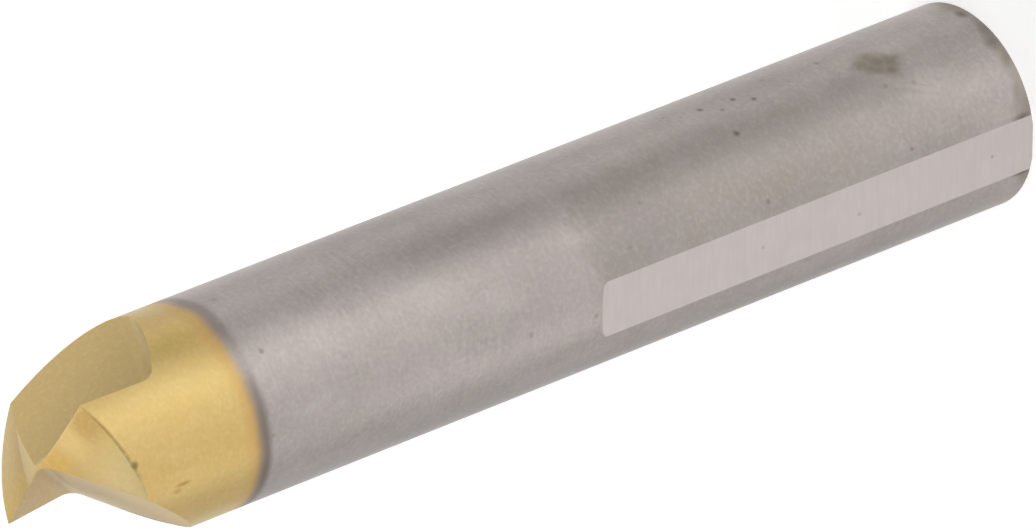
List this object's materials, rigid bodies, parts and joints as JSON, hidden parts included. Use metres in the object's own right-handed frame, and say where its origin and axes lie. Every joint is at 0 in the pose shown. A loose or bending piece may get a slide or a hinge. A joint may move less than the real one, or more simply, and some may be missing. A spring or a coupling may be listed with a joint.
{
  "type": "milling cutter",
  "caption": "Short two-flute milling cutter with a round shank, a drive flat along one side and a nitride-coated cutting end.",
  "frame": {"origin": "centre of the shank's flat end face, which the cutter stands on", "axes": "+Z along the cutter's axis towards the cutting end, +X square to the drive flat"},
  "size_m": [0.006, 0.006, 0.033],
  "materials": {
    "tool_steel": "ground steel shank, cutting end with a gold-coloured nitride coating"
  },
  "bodies": {
    "root": {"milling_cutter": "tool_steel"}
  },
  "joints": []
}
